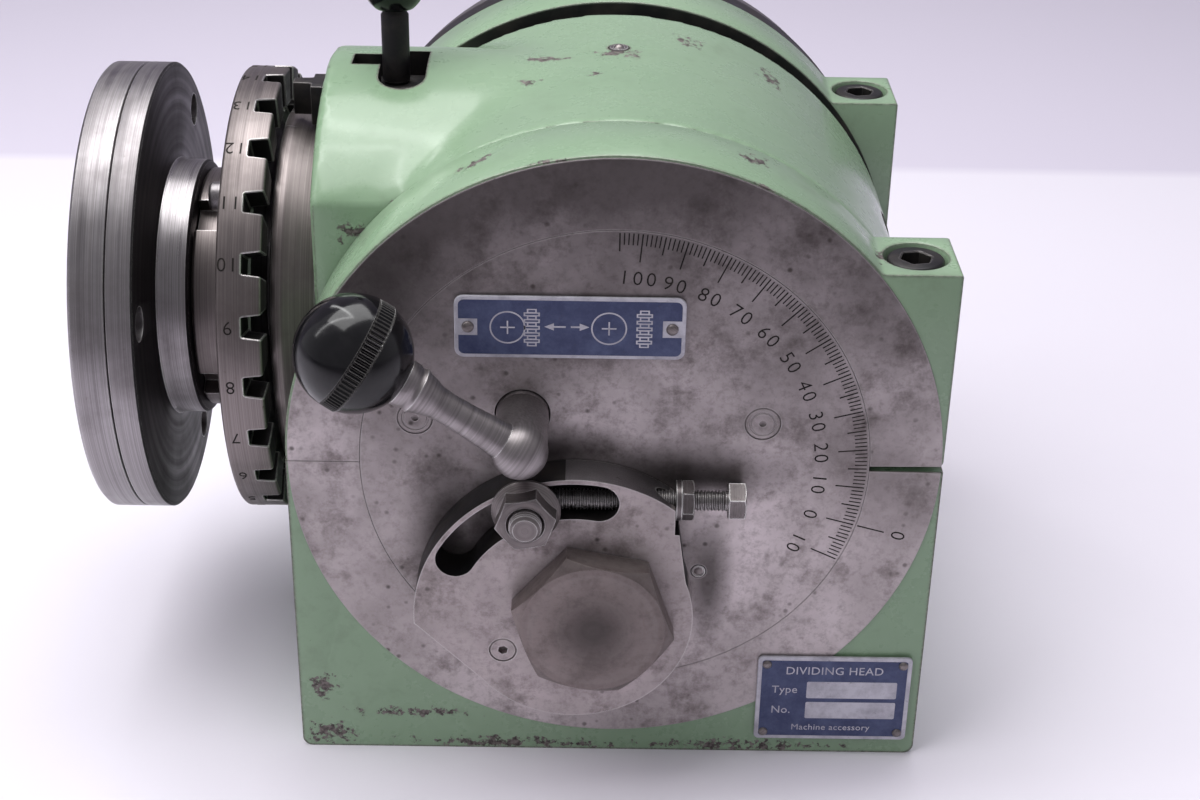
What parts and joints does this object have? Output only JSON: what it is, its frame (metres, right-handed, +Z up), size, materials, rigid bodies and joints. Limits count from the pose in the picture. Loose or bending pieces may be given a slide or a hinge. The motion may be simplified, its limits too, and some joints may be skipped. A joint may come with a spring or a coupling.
{
  "type": "semi-universal dividing head",
  "caption": "Tilting indexing head for a milling machine: worm-driven spindle with notched index plate and chuck flange, in a drum clamped between two split rings, with a crank and hole plate.",
  "frame": {"origin": "on the base's foot, straight under the swivel axis, midway between the two rings", "axes": "+Z up; the swivel axis runs along Y, the graduated face looks along -Y; the spindle nose points along -X at rest"},
  "size_m": [0.2473, 0.2915, 0.2232],
  "materials": {
    "green_paint": "gloss paint, chipped at the edges",
    "bare_iron": "machined, oily, stained",
    "ground_steel": "turned and ground",
    "black_steel": "blackened",
    "bronze": "turned bronze",
    "black_phenolic": "moulded, polished",
    "printed_plate": "printed blue on bright sheet"
  },
  "bodies": {
    "base": {"base": "green_paint", "front_ring_cap": "green_paint", "rear_ring_cap": "green_paint", "front_clamp_screw": "black_steel", "rear_clamp_screw": "black_steel", "front_cap_bolt": "black_steel", "rear_cap_bolt": "black_steel", "data_plate": "printed_plate"},
    "swivel": {"swivel_body": "green_paint", "slot_stud": "ground_steel", "slot_flange_nut": "ground_steel", "face_plug_right": "bare_iron", "face_plug_left": "bare_iron", "drum_oiler": "ground_steel", "face_oiler": "ground_steel", "lever_plate": "printed_plate", "nose_bearing_cap": "ground_steel", "front_bearing_bush": "bronze", "rear_bearing_bush": "bronze", "tail_cover": "bare_iron", "spindle_lock_pad": "bronze", "gear_cover": "black_steel", "hole_plate": "ground_steel"},
    "spindle": {"spindle": "ground_steel", "spindle_spacer": "ground_steel", "wheel_nut": "ground_steel", "tail_nut": "ground_steel", "worm_wheel": "bronze", "index_plate": "ground_steel", "slotted_nose_nut": "ground_steel", "index_plate_screw": "ground_steel", "flange_screw_1": "black_steel", "flange_screw_2": "black_steel", "flange_screw_3": "black_steel", "spindle_flange": "ground_steel", "face_plate": "ground_steel"},
    "throw_out": {"eccentric_sleeve": "ground_steel", "throw_out_plate": "bare_iron", "worm_end_cap": "bare_iron", "plate_screw": "ground_steel", "stop_screw": "ground_steel", "stop_screw_nut": "ground_steel"},
    "worm_bearings": {"front_worm_bush": "bronze", "rear_worm_bush": "bronze"},
    "worm": {"worm_shaft": "ground_steel", "worm_gear": "ground_steel"},
    "crank": {"crank_shaft": "ground_steel", "crank_gear": "ground_steel", "crank_arm": "ground_steel", "crank_nut": "ground_steel", "crank_handle": "ground_steel"},
    "index_pin": {"index_pin": "ground_steel", "index_pin_knob": "black_phenolic"},
    "sector_left": {"sector_arm_left": "ground_steel"},
    "sector_right": {"sector_arm_right": "ground_steel"},
    "lock_lever": {"lock_lever": "ground_steel", "lock_lever_knob": "black_phenolic"},
    "index_plunger": {"index_plunger": "black_steel", "plunger_lever": "black_steel", "plunger_knob": "black_phenolic"}
  },
  "joints": [
    {"name": "head_tilt", "type": "hinge", "parent": "base", "child": "swivel", "pos_m": [0, 0, 0.1], "axis": [0, 1, 0], "range_deg": [-10, 100]},
    {"name": "spindle_turn", "type": "hinge", "parent": "swivel", "child": "spindle", "pos_m": [0, 0, 0.116], "axis": [1, 0, 0], "continuous": true},
    {"name": "throw_out_turn", "type": "hinge", "parent": "swivel", "child": "throw_out", "pos_m": [-0.011, 0, 0.056], "axis": [0, 1, 0], "range_deg": [0, 38]},
    {"name": "worm_drop", "type": "slide", "parent": "swivel", "child": "worm_bearings", "axis": [0, 0, -1], "range_m": [0, 0.0038]},
    {"name": "worm_turn", "type": "hinge", "parent": "worm_bearings", "child": "worm", "pos_m": [-0.0055, 0, 0.058], "axis": [0, 1, 0], "continuous": true},
    {"name": "crank_turn", "type": "hinge", "parent": "swivel", "child": "crank", "pos_m": [0, 0, 0.1], "axis": [0, 1, 0], "continuous": true},
    {"name": "index_pin_slide", "type": "slide", "parent": "crank", "child": "index_pin", "axis": [0, -1, 0], "range_m": [0, 0.0096]},
    {"name": "sector_left_turn", "type": "hinge", "parent": "swivel", "child": "sector_left", "pos_m": [0, 0, 0.1], "axis": [0, 1, 0], "continuous": true},
    {"name": "sector_right_turn", "type": "hinge", "parent": "sector_left", "child": "sector_right", "pos_m": [0, 0, 0.1], "axis": [0, 1, 0], "range_deg": [-35, 250]},
    {"name": "lock_lever_turn", "type": "hinge", "parent": "swivel", "child": "lock_lever", "pos_m": [-0.026, 0, 0.116], "axis": [0, 1, 0], "range_deg": [-15, 45]},
    {"name": "index_plunger_slide", "type": "slide", "parent": "swivel", "child": "index_plunger", "axis": [-1, 0, 0], "range_m": [0, 0.008]}
  ],
  "couplings": [
    {"joint": "worm_turn", "follows": "spindle_turn", "ratio": -40},
    {"joint": "crank_turn", "follows": "spindle_turn", "ratio": 40},
    {"joint": "worm_drop", "follows": "throw_out_turn", "m_per_rad": 0.00573}
  ]
}
